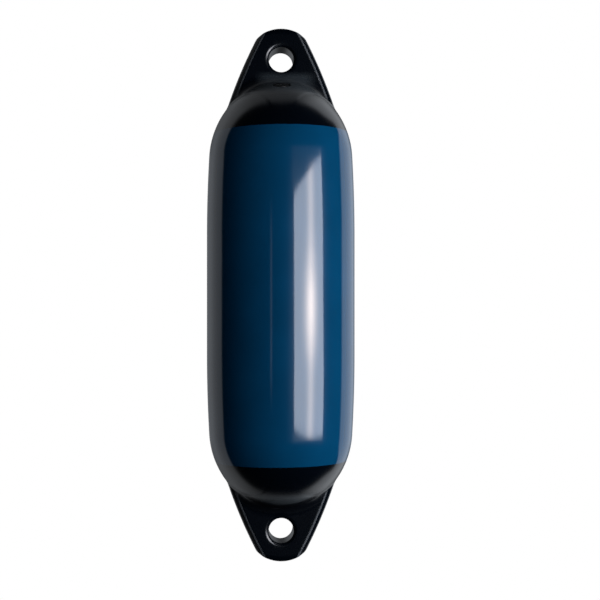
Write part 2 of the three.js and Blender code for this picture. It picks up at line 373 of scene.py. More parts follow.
def bump(canvas, height, distance, under=None):
    """Bump by a height between 0 and 1 that stands for distance metres."""
    inputs = {"Height": height, "Distance": distance, "Strength": 1.0}
    if under is not None:
        inputs["Normal"] = under
    return canvas.node("ShaderNodeBump", None, inputs, "Normal")


def vinyl_material(finish, form):
    """Glossy vinyl in two colours, with a painted highlight along the eyes' creases and a painted sheen
    at their feet.
    """
    sizes = form.sizes
    half_thick = sizes.eye_thickness / 2
    darker = [0.93 * shade for shade in finish.band_colour]
    paler = [1.07 * shade for shade in finish.band_colour]

    def build(canvas):
        place = object_place(canvas)
        x, y, z = place.split()
        depth = y.magnitude()
        height = z.magnitude()

        # Painted highlight along the creases between the flat faces of an eye and its chamfers
        flank = (x.magnitude() - form.flank[0]).beside(height - form.flank[1]) - EYE_FLANK_RADIUS
        crease = 1 - (flank + sizes.eye_chamfer * form.steep).magnitude().step(*CREASE_WIDTH)
        crease = crease * height.step(form.root[1] + 0.004, form.root[1] + 0.008)
        crease = crease * depth.step(half_thick - 0.0012, half_thick - 0.0008)

        # Soft lips of the rope holes
        from_hole = x.beside(height - form.hole_height) - sizes.hole_radius
        wall = 1 - depth.step(half_thick - 0.003, half_thick - 0.002)
        bore = (1 - from_hole.step(0.0008, 0.0016)) * wall
        lip = (1 - from_hole.step(*HOLE_LIP)) * (1 - bore) * height.step(0.18, 0.185)

        # Dull crown, and the painted sheen on it and at the foot of the upper eye
        crown = height.soft_step(*CROWN_DULL) * depth.soft_step(half_thick, half_thick + 0.0008)
        on_crown = depth.step(FILLET_FOOT - 0.0002, FILLET_FOOT + 0.0004)
        foot = z.soft_step(*UPPER_SHEEN) * on_crown
        foot = foot + (-z).soft_step(*LOWER_SHEEN) * depth.step(*LOWER_SHEEN_DEPTH)
        hollow = z.step(0.1, 0.11) * (1 - z.soft_step(*FOOT_SHEEN_TOP)) * (1 - on_crown)
        hollow = hollow * depth.step(half_thick - 0.001, half_thick - 0.0005)
        hollow = hollow * (1 - (x - FOOT_SHEEN_MIDDLE).magnitude().soft_step(*FOOT_SHEEN_ASIDE))

        # Black ends above and below the navy band
        wander = (noise(canvas, place, 260.0, 3.0) - 0.5) * 0.0004
        level = z - x * math.tan(finish.edge_tilt) + wander
        above = level.step(finish.upper_edge - 0.0001, finish.upper_edge + 0.0001)
        below = level.step(finish.lower_edge + 0.0001, finish.lower_edge - 0.0001)
        ends = canvas.math("MAXIMUM", above, below)

        cloud = noise(canvas, place, 28.0, 4.0)
        # Noise that breaks up the painted highlight along the creases
        highlight_breakup = noise(canvas, place, 420.0, 4.0).step(0.25, 0.6)
        shade = canvas.mix(cloud.step(0.3, 0.7), darker, paler)
        shade = canvas.mix(ends, shade, finish.end_colour)
        # Painted sheen on the crowns and at the foot of the upper eye
        shade = canvas.mix(foot * (0.75 + 0.25 * cloud) + hollow * 0.6, shade, finish.sheen_colour)
        # Painted highlight along the eyes' creases
        shade = canvas.mix(crease * (0.75 + 0.25 * highlight_breakup), shade, finish.edge_highlight_colour)

        handling = noise(canvas, place, 60.0, 5.0, 0.6)
        plain = finish.band_roughness + ends * (finish.end_roughness - finish.band_roughness)
        plain = plain + crown * (finish.crown_roughness - finish.end_roughness) + lip * 0.08
        rough = plain + (handling - 0.5) * 0.04

        # Soft waves, draw marks along the barrel and fine grain
        surface = bump(canvas, noise(canvas, place, 45.0, 1.0), 0.00005)
        draw_marks = noise(canvas, object_place(canvas, (1, 1, 0.04)), 260.0, 2.0)
        surface = bump(canvas, draw_marks, 0.000008, surface)
        surface = bump(canvas, noise(canvas, place, 1400.0, 1.0), 0.000002, surface)
        return {"Base Color": shade, "Roughness": rough, "Normal": surface}

    return finish_material("fender_vinyl", build, IOR=1.5)


def nylon_material(finish, name, grain_scale):
    """Satin moulded nylon with a fine sparked grain."""

    def build(canvas):
        place = object_place(canvas)
        grain = noise(canvas, place, grain_scale, 3.0)
        patches = noise(canvas, place, 300.0, 3.0)
        tint = patches.step(0.3, 0.7) * 0.3 + 0.85
        shade = canvas.mix(1.0, finish.nylon_colour, tint, "MULTIPLY")
        rough = 0.36 + patches * 0.12
        return {"Base Color": shade, "Roughness": rough, "Normal": bump(canvas, grain, 0.000015)}

    return finish_material(name, build, IOR=1.52)


def rubber_material(finish):
    """Matt rubber with a dusty bloom."""

    def build(canvas):
        place = object_place(canvas)
        dust = noise(canvas, place, 500.0, 4.0)
        tint = dust.step(0.3, 0.8) * 0.6 + 0.8
        shade = canvas.mix(1.0, finish.rubber_colour, tint, "MULTIPLY")
        rough = 0.62 + dust * 0.2
        return {"Base Color": shade, "Roughness": rough, "Normal": bump(canvas, dust, 0.00002)}

    return finish_material("seal_rubber", build, IOR=1.5)


def round_union(a, b, radius):
    """Distance to two forms joined with a rolling-ball fillet."""
    near = np.hypot(np.maximum(radius - a, 0), np.maximum(radius - b, 0))
    return np.maximum(radius, np.minimum(a, b)) - near


def round_overlap(a, b, radius):
    """Distance to what two forms share, its edge rounded."""
    return -round_union(-a, -b, radius)


def soft_union(a, b, width):
    """Distance to two forms joined with a small soft blend."""
    share = np.maximum(width - np.abs(a - b), 0) / width
    return np.minimum(a, b) - share**2 * width / 4


class FenderForm:
    """The fender as one distance field, from the sizes of the panel and the CAD's own arcs."""

    def __init__(self, sizes, valve):
        self.sizes = sizes
        self.valve = valve
        half = sizes.length / 2
        self.crown_top = half - EYE_RISE
        self.tip_height = half - EYE_TIP_RADIUS
        self.hole_height = half - ROPE_HOLE_TO_TIP
        ends = sizes.radius - BARREL_SWELL_RADIUS * (1 - math.cos(BARREL_SWELL_END))
        ends -= SHOULDER_RADIUS * (math.cos(BARREL_SWELL_END) - math.cos(SHOULDER_END))
        self.crown_radius = ends / math.cos(SHOULDER_END)
        self.crown_height = self.crown_top - self.crown_radius
        inset = self.crown_radius - SHOULDER_RADIUS
        self.shoulder = (
            inset * math.cos(SHOULDER_END),
            self.crown_height + inset * math.sin(SHOULDER_END),
        )
        self.barrel = (
            sizes.radius - BARREL_SWELL_RADIUS,
            self.shoulder[1] + (SHOULDER_RADIUS - BARREL_SWELL_RADIUS) * math.sin(BARREL_SWELL_END),
        )
        self.root = (EYE_ROOT_WIDTH / 2, self.on_crown(EYE_ROOT_WIDTH / 2))
        self.corner = (
            EYE_TIP_WIDTH / 2,
            self.on_tip(EYE_TIP_WIDTH / 2),
        )
        self.flank = self.flank_centre()
        self.steep = (Vector(self.corner) - Vector(self.root)).normalized().y

    def on_crown(self, radius):
        return self.crown_height + math.sqrt(self.crown_radius**2 - radius**2)

    def on_tip(self, aside):
        return self.tip_height + np.sqrt(EYE_TIP_RADIUS**2 - aside**2)

    def flank_centre(self):
        """Centre of the slight belly of the eye's flanks."""
        root = Vector(self.root)
        corner = Vector(self.corner)
        chord = corner - root
        inward = Vector((-chord.y, chord.x)).normalized()
        reach = math.sqrt(EYE_FLANK_RADIUS**2 - chord.length_squared / 4)
        return tuple((root + corner) / 2 + inward * reach)

    def hull(self, radius, height):
        """Distance to the body without its eyes."""
        barrel_r, barrel_z = self.barrel
        shoulder_r, shoulder_z = self.shoulder
        plain = radius - self.sizes.radius
        swell = np.hypot(radius - barrel_r, height - barrel_z) - BARREL_SWELL_RADIUS
        shoulder = np.hypot(radius - shoulder_r, height - shoulder_z) - SHOULDER_RADIUS
        crown = np.hypot(radius, height - self.crown_height) - self.crown_radius
        on_swell = height - barrel_z < math.tan(BARREL_SWELL_END) * (radius - barrel_r)
        on_shoulder = height - self.crown_height < math.tan(SHOULDER_END) * radius
        return np.select([height < barrel_z, on_swell, on_shoulder], [plain, swell, shoulder], crown)

    def eye(self, aside, across, height, hull):
        """Distance to the rope eye, down into the crown: a plate with chamfered flanks."""
        sizes = self.sizes
        flank = np.hypot(aside - self.flank[0], height - self.flank[1]) - EYE_FLANK_RADIUS
        plate = across - sizes.eye_thickness / 2
        chamfer = (flank / self.steep + plate + sizes.eye_chamfer) / math.hypot(1 / self.steep, 1)
        above = height - self.tip_height
        lean = math.atan2(self.corner[0], self.corner[1] - self.tip_height)
        beyond = aside * math.sin(lean) + above * math.cos(lean)
        tip = np.where(np.arctan2(aside, above) < lean, np.hypot(aside, above), beyond) - EYE_TIP_RADIUS
        sides = round_overlap(flank, chamfer, sizes.eye_edge_round)
        outline = round_overlap(sides, tip, EYE_CORNER_ROUND)
        rooted = round_union(plate, hull, sizes.eye_root_fillet)
        form = round_overlap(outline, rooted, sizes.eye_edge_round)
        return np.where(height > self.root[1] - EYE_BURIAL, form, 1.0)

    def uncut(self, points):
        """Distance to the body with both eyes, its holes still to be cut."""
        x, y, z = points.T
        height = np.abs(z)
        radius = np.hypot(x, y)
        hull = self.hull(radius, height)
        form = soft_union(hull, self.eye(np.abs(x), np.abs(y), height, hull), 0.001)
        seam = self.sizes.seam_height * np.exp(-((y / self.sizes.seam_width) ** 2))
        return form - seam

    def whole(self, points):
        """Distance to the finished body: rope holes and valve recess cut."""
        x, y, z = points.T
        hole = np.hypot(x, np.abs(z) - self.hole_height) - self.sizes.hole_radius
        form = round_overlap(self.uncut(points), -hole, self.sizes.hole_rim_round)
        upright = points @ np.array(self.valve_turn())
        depth = upright[:, 2] - self.crown_height * math.cos(self.valve.tilt) - self.crown_radius
        aside = np.hypot(upright[:, 0], upright[:, 1] + self.crown_height * math.sin(self.valve.tilt))
        recess = np.maximum(aside - self.valve.recess_radius, -self.valve.recess_depth - depth)
        return round_overlap(form, -recess, self.valve.recess_rim_round)

    def valve_turn(self):
        return Matrix.Rotation(self.valve.tilt, 3, "X")

    def profile(self):
        """Points of the outline from the middle up to the tip, as if the eyes were turned too."""
        barrel_r, barrel_z = self.barrel
        root_angle = math.atan2(self.root[1] - self.shoulder[1], self.root[0] - self.shoulder[0])
        tip_angle = math.atan2(self.corner[1] - self.tip_height, self.corner[0])
        flank_from = math.atan2(self.root[1] - self.flank[1], self.root[0] - self.flank[0])
        flank_to = math.atan2(self.corner[1] - self.flank[1], self.corner[0] - self.flank[0])
        points = [(self.sizes.radius, step * barrel_z / 12) for step in range(12)]
        points += arc_points(self.barrel, BARREL_SWELL_RADIUS, 0, BARREL_SWELL_END, 18)
        points += arc_points(self.shoulder, SHOULDER_RADIUS, BARREL_SWELL_END, root_angle, 30)[1:]
        points += arc_points(self.flank, EYE_FLANK_RADIUS, flank_from, flank_to, 58)[1:]
        points += arc_points((0, self.tip_height), EYE_TIP_RADIUS, tip_angle, math.pi / 2, 40)[1:]
        points[-1] = (0, self.sizes.length / 2)
        return points


def arc_points(centre, radius, start, end, steps):
    """Points (radius, height) along an arc, both ends included."""
    angles = [start + (end - start) * step / steps for step in range(steps + 1)]
    return [(centre[0] + radius * math.cos(a), centre[1] + radius * math.sin(a)) for a in angles]


def spun(points, steps, closed=False, axis="Z"):
    """Bmesh turned about Z, or Y, from points (radius, height) along its outline."""
    mesh = bmesh.new()
    corners = [mesh.verts.new((radius, 0, height)) for radius, height in points]
    pairs = list(zip(corners, corners[1:]))
    if closed:
        pairs.append((corners[-1], corners[0]))
    edges = [mesh.edges.new(pair) for pair in pairs]
    bmesh.ops.spin(
        mesh,
        geom=corners + edges,
        cent=(0, 0, 0),
        axis=(0, 0, 1),
        angle=2 * math.pi,
        steps=steps,
        use_merge=True,
    )
    bmesh.ops.remove_doubles(mesh, verts=mesh.verts, dist=1e-7)
    bmesh.ops.dissolve_degenerate(mesh, edges=mesh.edges, dist=1e-8)
    bmesh.ops.recalc_face_normals(mesh, faces=mesh.faces)
    if axis == "Y":
        turn = Matrix.Rotation(math.pi / 2, 3, "X")
        bmesh.ops.rotate(mesh, cent=(0, 0, 0), matrix=turn, verts=mesh.verts)
    return mesh


def rounded(mesh, width, segments, sharper_than=math.radians(40)):
    """Bevel every edge that turns by more than the given angle."""
    edges = [edge for edge in mesh.edges if edge.is_manifold and edge.calc_face_angle() > sharper_than]
    bmesh.ops.bevel(
        mesh,
        geom=edges,
        offset=width,
        offset_type="OFFSET",
        affect="EDGES",
        segments=segments,
        profile=0.5,
        material=-1,
        clamp_overlap=True,
    )
    return mesh


def to_object(mesh, name, smooth=True):
    """Object at the origin from a bmesh, linked to the scene."""
    data = bpy.data.meshes.new(name)
    mesh.to_mesh(data)
    mesh.free()
    if smooth:
        data.shade_smooth()
    piece = bpy.data.objects.new(name, data)
    bpy.context.scene.collection.objects.link(piece)
    return piece


def carve(piece, tool, operation="DIFFERENCE"):
    """Boolean with an exact solver, applied, and the tool removed."""
    modifier = piece.modifiers.new("Carve", "BOOLEAN")
    modifier.operation = operation
    modifier.solver = "EXACT"
    modifier.object = tool
    depsgraph = bpy.context.evaluated_depsgraph_get()
    carved = bpy.data.meshes.new_from_object(piece.evaluated_get(depsgraph))
    piece.modifiers.clear()
    old = piece.data
    piece.data = carved
    carved.name = piece.name
    bpy.data.meshes.remove(old)
    data = tool.data
    bpy.data.objects.remove(tool)
    bpy.data.meshes.remove(data)
    if not carved.polygons:
        raise RuntimeError(f"the cut left nothing of {piece.name}")


def place_piece(piece, material, slot, *nodes):
    """Material, body and the CAD nodes that a finished piece stands for. The slot is not used."""
    piece.data.materials.clear()
    piece.data.materials.append(material)
    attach(piece, "root")
    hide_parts(*nodes)


def gathered_columns(places, form):
    """Azimuths of the vertices, gathered at the parting line and at the edges of the eyes."""
    radius = np.hypot(places[:, 0], places[:, 1])
    angle = np.arctan2(places[:, 1], places[:, 0])
    folded = np.abs(np.mod(angle + math.pi / 2, math.pi) - math.pi / 2)
    half_thick = form.sizes.eye_thickness / 2
    # A quarter turn in sixteenths of a degree
    samples = np.linspace(0, math.pi / 2, 90 * 16 + 1)
    moved = folded.copy()
    levels = np.round(places[:, 2], 7)
    for level in np.unique(levels):
        ring = np.nonzero(levels == level)[0]
        reach = radius[ring].max()
        if reach < 1e-6:
            continue
        on_eye = 1 / (1 + math.exp((form.root[1] - 0.004 - abs(level)) / 0.002))
        density = 1 + SEAM_GATHER * np.exp(-((samples / SEAM_GATHER_ANGLE) ** 2))
        for offset in (half_thick, half_thick - form.sizes.eye_chamfer):
            edge = math.asin(min(offset / reach, 1.0))
            open_flat = min(max((reach - offset) / 0.003, 0), 1)
            beside = (samples - edge) / EDGE_GATHER_ANGLE
            density += EDGE_GATHER * on_eye * open_flat * np.exp(-(beside**2))
        share = np.concatenate([[0], np.cumsum((density[1:] + density[:-1]) / 2)])
        moved[ring] = np.interp(folded[ring] / (math.pi / 2), share / share[-1], samples)
    return moved


def tip_edge(azimuth, form):
    """Angle from +Z, at the crown's centre, of the edge of the tip's round face at each azimuth."""
    half_thick = form.sizes.eye_thickness / 2
    slope = np.tan(np.minimum(azimuth, math.radians(89.99)))
    widest = np.minimum(form.corner[0], half_thick / np.maximum(slope, 1e-6))
    aside = widest
    for _ in range(12):
        height = form.on_tip(aside)
        flank = form.flank[0] + np.sqrt(EYE_FLANK_RADIUS**2 - (height - form.flank[1]) ** 2)
        cut = (flank + half_thick - form.sizes.eye_chamfer) / (1 + slope)
        aside = np.minimum(widest, (aside + cut) / 2)
    return np.arctan2(aside * np.hypot(1, slope), form.on_tip(aside) - form.crown_height)


def surface_rays(places, form):
    """Origins and rays that meet the surface: from the crown's centre on an eye, else from the axis."""
    azimuth = gathered_columns(places, form)
    radius = np.hypot(places[:, 0], places[:, 1])
    height = np.abs(places[:, 2])
    on_eye = height > form.root[1] - 1e-6
    angle = np.arctan2(radius, height - form.crown_height)
    corner = math.atan2(form.corner[0], form.corner[1] - form.crown_height)
    root = math.atan2(form.root[0], form.root[1] - form.crown_height)
    edge = tip_edge(azimuth, form)
    on_flank = edge + (angle - corner) * (root - edge) / (root - corner)
    bent = np.where(angle < corner, angle * edge / corner, on_flank)
    outward = np.where(on_eye, EYE_RAY_LENGTH * np.sin(bent), radius)
    upward = np.where(on_eye, EYE_RAY_LENGTH * np.cos(bent), 0.0)
    side = np.sign(places[:, 2])
    rays = np.column_stack([
        outward * np.cos(azimuth) * np.sign(np.round(places[:, 0], 9)),
        outward * np.sin(azimuth) * np.sign(np.round(places[:, 1], 9)),
        upward * side,
    ])
    origins = np.zeros_like(rays)
    origins[:, 2] = np.where(on_eye, side * form.crown_height, places[:, 2])
    return origins, rays


def settle(places, form):
    """Vertices of the turned outline moved onto the fender's surface."""
    origins, rays = surface_rays(places, form)
    low = np.full(len(rays), SEARCH_START)
    high = np.full(len(rays), SEARCH_END)
    for _ in range(SEARCH_STEPS):
        middle = (low + high) / 2
        inside = form.uncut(origins + rays * middle[:, None]) < 0
        low = np.where(inside, middle, low)
        high = np.where(inside, high, middle)
    return origins + rays * ((low + high) / 2)[:, None]


def rope_hole_cutter(form, side):
    """Cutter for one rope hole, along Y, flared at both mouths."""
    sizes = form.sizes
    half = sizes.eye_thickness / 2
    lip = (sizes.hole_radius + sizes.hole_rim_round, half - sizes.hole_rim_round)
    mouth = arc_points(lip, sizes.hole_rim_round, math.pi, math.pi / 2 + math.radians(5), 14)
    flare_out = (mouth[-1][0] + CUTTER_OVERRUN, mouth[-1][1] + CUTTER_OVERRUN / 5)
    top = flare_out[1] + CUTTER_OVERRUN
    upper = mouth + [flare_out, (flare_out[0], top), (0, top)]
    lower = [(r, -h) for r, h in reversed(upper)]
    mesh = spun(lower + upper, 96, axis="Y")
    bmesh.ops.translate(mesh, vec=(0, 0, side * form.hole_height), verts=mesh.verts)
    return mesh


def on_valve_axis(mesh, form):
    """Place a form made about +Z, with its zero at the crown's surface, on the valve's axis."""
    bmesh.ops.translate(mesh, vec=(0, 0, form.crown_radius), verts=mesh.verts)
    bmesh.ops.rotate(mesh, cent=(0, 0, 0), matrix=form.valve_turn(), verts=mesh.verts)
    bmesh.ops.translate(mesh, vec=(0, 0, form.crown_height), verts=mesh.verts)
    return mesh


def valve_pocket_cutter(form):
    """Cutter for the valve's recess and socket, its mouth slightly flared."""
    valve = form.valve
    rim = valve.recess_rim_round
    points = [
        (0, -VALVE_SOCKET_DEPTH),
        (VALVE_SOCKET_RADIUS, -VALVE_SOCKET_DEPTH),
        (VALVE_SOCKET_RADIUS, -valve.recess_depth),
        (valve.recess_radius, -valve.recess_depth),
    ]
    lip = (valve.recess_radius + rim, -CROWN_FALL - rim)
    reach = valve.recess_radius + CUTTER_OVERRUN
    top = 0.003
    points += arc_points(lip, rim, math.pi, math.pi / 2 + math.radians(20), 5)
    points += [(reach, CROWN_FALL), (reach, top), (0, top)]
    return on_valve_axis(spun(points, 72), form)


def joined(meshes):
    """One bmesh from several that stay separate shells."""
    whole = bmesh.new()
    for mesh in meshes:
        data = bpy.data.meshes.new("part")
        mesh.to_mesh(data)
        mesh.free()
        whole.from_mesh(data)
        bpy.data.meshes.remove(data)
    return whole


def true_normals(piece, form):
    """Shade the piece by the slope of its distance field, so flat faces stay flat beside rounds."""
    count = len(piece.data.vertices)
    places = np.empty(count * 3)
    piece.data.vertices.foreach_get("co", places)
    places = places.reshape(-1, 3)
    reach = 0.00003
    slope = np.empty_like(places)
    for axis in range(3):
        shift = np.zeros(3)
        shift[axis] = reach
        slope[:, axis] = form.whole(places + shift) - form.whole(places - shift)
    slope /= np.maximum(np.linalg.norm(slope, axis=1, keepdims=True), 1e-12)
    piece.data.normals_split_custom_set_from_vertices(slope.tolist())


class FENDER_OT_shell(bpy.types.Operator):
    """Build the inflated body with both rope eyes as one moulding"""

    bl_idname = "fender.shell"
    bl_label = "Fender shell"

    def execute(self, context):
        scene = context.scene
        sizes = scene.fender_shell_sizes
        form = FenderForm(sizes, scene.fender_valve_sizes)
        upper = form.profile()
        lower = [(radius, -height) for radius, height in reversed(upper[1:])]
        mesh = spun(lower + upper, sizes.columns)
        places = settle(np.array([vertex.co for vertex in mesh.verts]), form)
        for vertex, place in zip(mesh.verts, places.tolist()):
            vertex.co = place
        shell = to_object(mesh, "fender_shell")
        rope_holes = joined([rope_hole_cutter(form, 1), rope_hole_cutter(form, -1)])
        carve(shell, to_object(rope_holes, "rope_holes"))
        carve(shell, to_object(valve_pocket_cutter(form), "valve_pocket"))
        shell.data.shade_smooth()
        true_normals(shell, form)
        place_piece(shell, vinyl_material(scene.fender_finish, form), "fender_pvc", "fender_body")
        return {"FINISHED"}


class FENDER_OT_valve_bush(bpy.types.Operator):
    """Build the flanged bush that is moulded into the crown"""

    bl_idname = "fender.valve_bush"
    bl_label = "Valve bush"

    def execute(self, context):
        scene = context.scene
        valve = scene.fender_valve_sizes
        form = FenderForm(scene.fender_shell_sizes, valve)
        floor = -valve.recess_depth
        bottom = floor - valve.bush_length
        top = floor + SEAT_GAP + BUSH_FLANGE
        bore = PLUG_SHANK_RADIUS + SEAT_GAP
        barb_root = valve.bush_radius - BARB_DEPTH
        barbs = []
        for step in range(BARBS):
            height = bottom + BARB_START + step * BARB_SPACING
            barbs += [(barb_root, height), (valve.bush_radius, height + BARB_RISE)]
        points = [(bore, bottom), (barb_root, bottom)] + barbs
        points += [
            (valve.bush_radius, floor + SEAT_GAP),
            (valve.recess_radius - SEAT_GAP, floor + SEAT_GAP),
            (valve.recess_radius - SEAT_GAP, top),
            (bore, top),
        ]
        mesh = rounded(spun(points, 96, closed=True), MOULDED_ROUND, 2)
        piece = to_object(on_valve_axis(mesh, form), "valve_bush")
        material = nylon_material(scene.fender_finish, "bush_nylon", 2600.0)
        place_piece(piece, material, "valve_nylon", "valve_insert")
        return {"FINISHED"}


class FENDER_OT_seal_ring(bpy.types.Operator):
    """Build the flat sealing ring under the plug's head"""

    bl_idname = "fender.seal_ring"
    bl_label = "Seal ring"

    def execute(self, context):
        scene = context.scene
        valve = scene.fender_valve_sizes
        form = FenderForm(scene.fender_shell_sizes, valve)
        low = -valve.recess_depth + 2 * SEAT_GAP + BUSH_FLANGE
        bore = PLUG_SHANK_RADIUS + SEAT_GAP
        points = [(bore, low), (valve.head_radius, low)]
        points += [(valve.head_radius, low + SEAL_THICKNESS), (bore, low + SEAL_THICKNESS)]
        mesh = rounded(spun(points, 96, closed=True), SOFT_ROUND, 4)
        piece = to_object(on_valve_axis(mesh, form), "seal_ring")
        place_piece(piece, rubber_material(scene.fender_finish), "seal_rubber", "plug_seal")
        return {"FINISHED"}


def thread_ridge(radius, bottom, pitch, turns):
    """Helical ridge of a thread, a trapezium swept round and up, closed at both ends."""
    mesh = bmesh.new()
    inner = radius - THREAD_ROOT
    corners = [
        mesh.verts.new((inner, 0, bottom)),
        mesh.verts.new((radius + THREAD_DEPTH, 0, bottom + 0.45 * pitch)),
        mesh.verts.new((radius + THREAD_DEPTH, 0, bottom + 0.55 * pitch)),
        mesh.verts.new((inner, 0, bottom + 0.9 * pitch)),
    ]
    face = mesh.faces.new(corners)
    swept = bmesh.ops.spin(
        mesh,
        geom=[face],
        cent=(0, 0, 0),
        axis=(0, 0, 1),
        dvec=(0, 0, pitch / THREAD_STEPS),
        angle=2 * math.pi * turns,
        steps=THREAD_STEPS * turns,
        use_merge=False,
        use_duplicate=False,
    )
    open_edges = [edge for edge in mesh.edges if edge.is_boundary]
    if open_edges:
        bmesh.ops.holes_fill(mesh, edges=open_edges, sides=0)
    bmesh.ops.recalc_face_normals(mesh, faces=mesh.faces)
    if not swept["geom_last"]:
        raise RuntimeError("the thread could not be swept")
    return mesh


class FENDER_OT_screw_plug(bpy.types.Operator):
    """Build the screw plug with its coin slot and thread"""

    bl_idname = "fender.screw_plug"
    bl_label = "Screw plug"

    def execute(self, context):
        scene = context.scene
        valve = scene.fender_valve_sizes
        form = FenderForm(scene.fender_shell_sizes, valve)
        head_low = -valve.recess_depth + 3 * SEAT_GAP + BUSH_FLANGE + SEAL_THICKNESS
        head_high = head_low + PLUG_HEAD_HEIGHT
        tip = head_low - PLUG_SHANK_LENGTH
        core = PLUG_SHANK_RADIUS - THREAD_DEPTH
        points = [
            (0, tip),
            (PLUG_SHANK_RADIUS - PLUG_TIP_INSET, tip),
            (core, tip + PLUG_TIP_INSET),
            (core, head_low),
            (valve.head_radius, head_low),
            (valve.head_radius, head_high),
            (0, head_high),
        ]
        mesh = rounded(spun(points, 96), SOFT_ROUND, 4, math.radians(60))
        plug = to_object(mesh, "screw_plug")
        ridge = thread_ridge(core, tip + THREAD_START, valve.thread_pitch, THREAD_TURNS)
        carve(plug, to_object(ridge, "ridge"), "UNION")
        slot = bmesh.new()
        bmesh.ops.create_cube(slot, size=1)
        slot_size = (2.4 * valve.head_radius, valve.slot_width, 2 * valve.slot_depth)
        bmesh.ops.scale(slot, vec=slot_size, verts=slot.verts)
        rounded(slot, SLOT_ROUND, 2)
        bmesh.ops.translate(slot, vec=(0, 0, head_high), verts=slot.verts)
        carve(plug, to_object(slot, "slot"))
        mesh = bmesh.new()
        mesh.from_mesh(plug.data)
        on_valve_axis(mesh, form)
        mesh.to_mesh(plug.data)
        mesh.free()
        plug.data.shade_smooth()
        plug.data.set_sharp_from_angle(angle=math.radians(35))
        material = nylon_material(scene.fender_finish, "plug_nylon", 3000.0)
        place_piece(plug, material, "plug_nylon", "valve_plug")
        return {"FINISHED"}


def glow_material(name, build):
    """Material of a stage piece that only gives off light."""
    material = bpy.data.materials.new(name)
    material.use_nodes = True
    tree = material.node_tree
    tree.nodes.clear()
    canvas = Signal(tree)
    glow = canvas.node("ShaderNodeEmission", None, build(canvas), "Emission")
    canvas.node("ShaderNodeOutputMaterial", None, {"Surface": glow})
    return material


def studio_world(scene):
    """White for the camera; for the gloss a pale cove behind the fender and little in front of it."""
    world = bpy.data.worlds.new("studio")
    world.use_nodes = True
    scene.world = world
    tree = world.node_tree
    tree.nodes.clear()
    canvas = Signal(tree)
    x, y, z = canvas.node("ShaderNodeTexCoord", output="Generated").split()
    rise = z.magnitude()
    right = canvas.math("MAXIMUM", x, 0.0)
    left = canvas.math("MAXIMUM", -x, 0.0)

    # Front edge of the cove: further back at the right where flags stand, softer overhead
    flag = rise.bell(0.47, 0.14) * 0.3
    side = y - right * (0.306 + flag) - left * 0.262
    overhead = canvas.math("POWER", rise, 4.0)
    down = (-z).soft_step(0.0, 0.3)
    starts = overhead * (down * 0.3 - 0.27) - 0.03
    ends = overhead * (down * 0.28 - 0.05) + 0.05
    cove = side.soft_step(starts, ends)

    # Brightness of the cove: most at the right, less straight behind, above and below its middle
    bright = 0.34 + 0.7 * x.soft_step(0.26, 0.56) + 0.14 * left.soft_step(0.4, 0.7)
    straight_behind = x.bell(0.0, 0.42) * (1 - rise.step(0.1, 0.5))
    pits = x.bell(0.0, 0.35) * rise.soft_step(0.13, 0.18) * (1 - rise.soft_step(0.4, 0.6))
    bright = bright * (1 - 0.5 * straight_behind) * (1 - 0.85 * pits)

    # Faint upright line to the left of the camera, and the halo round the softbox
    streak = x.bell(-0.275, 0.02) * y.step(0.0, -0.1) * (1 - rise.soft_step(0.02, 0.16)) * 0.6
    box_start, box_end = (math.radians(azimuth) for azimuth, _ in SOFTBOX_CORNERS[:2])
    from_middle = canvas.math("ARCTAN2", x, -y) - (box_start + box_end) / 2
    beyond = canvas.math("MAXIMUM", from_middle.magnitude() - (box_end - box_start) / 2, 0.0)
    halo = canvas.math("EXPONENT", beyond / -0.075) * (1 - rise.soft_step(0.08, 0.33)) * 0.8

    seen = canvas.node("ShaderNodeLightPath", output="Is Camera Ray")
    glow = (1 - seen) * (cove * bright + streak + halo)
    shades = {"Red": seen + glow * 0.95, "Green": seen + glow, "Blue": seen + glow * 1.06}
    tint = canvas.node("ShaderNodeCombineColor", None, shades)
    light = canvas.node("ShaderNodeBackground", None, {"Color": tint, "Strength": 1.0})
    canvas.node("ShaderNodeOutputWorld", None, {"Surface": light})


def softbox(studio):
    """Glowing panel to the right of the camera, its lamp seen as a hot upright tube and spot."""
    normal = Vector((math.sin(SOFTBOX_FACING), -math.cos(SOFTBOX_FACING), 0))
    aside = Vector((math.cos(SOFTBOX_FACING), math.sin(SOFTBOX_FACING), 0))
    mesh = bmesh.new()
    verts = []
    for azimuth, height in SOFTBOX_CORNERS:
        offset = SOFTBOX_DISTANCE * math.tan(math.radians(azimuth) - SOFTBOX_FACING)
        place = normal * SOFTBOX_DISTANCE + aside * offset + Vector((0, 0, height))
        verts.append(mesh.verts.new(place))
    mesh.faces.new(verts)
    panel = to_object(mesh, "softbox")
    panel.visible_camera = False

    def build(canvas):
        x, y, z = canvas.node("ShaderNodeTexCoord", output="Object").split()
        offset = x * aside.x + y * aside.y
        tube = offset.bell(LAMP_ASIDE, LAMP_TUBE_WIDTH) * LAMP_TUBE_SHARE
        spot = offset.bell(LAMP_ASIDE, LAMP_SPOT_WIDTH) * z.bell(0.0, LAMP_SPOT_HEIGHT)
        lamp = (tube + spot) * studio.lamp_strength
        face = studio.softbox_strength
        shades = {
            "Red": 0.88 * face + 1.0 * lamp,
            "Green": 0.95 * face + 0.82 * lamp,
            "Blue": 1.08 * face + 0.7 * lamp,
        }
        return {"Color": canvas.node("ShaderNodeCombineColor", None, shades), "Strength": 1.0}

    panel.data.materials.append(glow_material("softbox_face", build))


